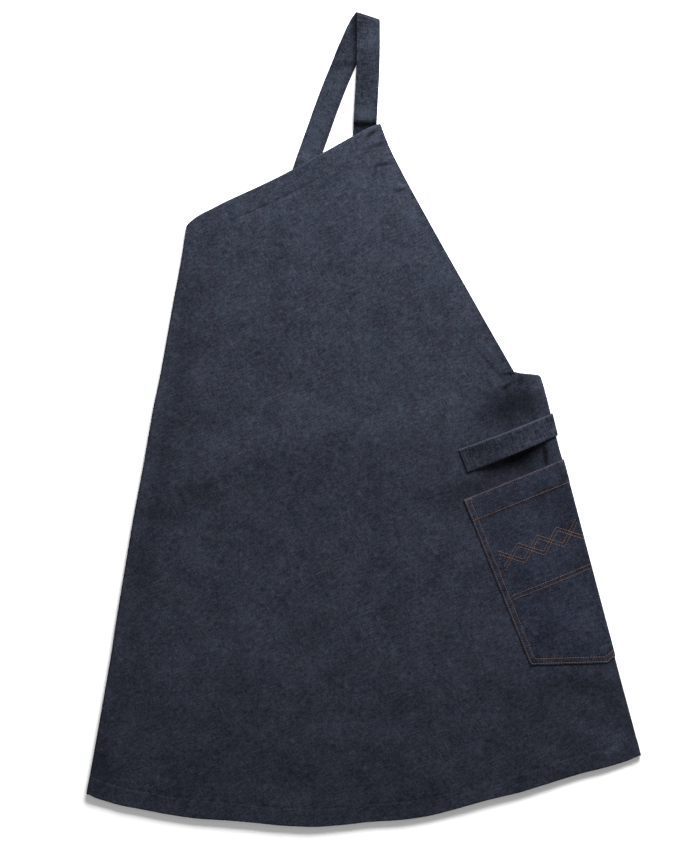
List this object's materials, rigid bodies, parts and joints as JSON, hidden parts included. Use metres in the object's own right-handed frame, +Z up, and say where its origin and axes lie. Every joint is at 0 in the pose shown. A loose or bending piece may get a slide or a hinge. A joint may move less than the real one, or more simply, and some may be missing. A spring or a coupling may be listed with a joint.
{
  "type": "one-shoulder apron",
  "caption": "One-shoulder work apron in heavy cotton denim, lying flat: flared body folded at both sides, doubled strap loop, slanted side pocket and a towel loop.",
  "frame": {"origin": "centre of the apron's outline, on the surface it lies on", "axes": "+Y from the hem to the shoulder strap, +X to the side with the pocket, +Z up, out of the front"},
  "size_m": [0.721, 1.0598, 0.0202],
  "materials": {
    "body_denim": "matte washed indigo denim",
    "strap_denim": "matte washed indigo denim, doubled",
    "pocket_denim": "matte indigo denim with rust topstitching",
    "loop_denim": "matte indigo denim, doubled"
  },
  "bodies": {
    "root": {"body_panel": "body_denim", "shoulder_strap": "strap_denim", "side_pocket": "pocket_denim", "towel_loop": "loop_denim"}
  },
  "joints": []
}
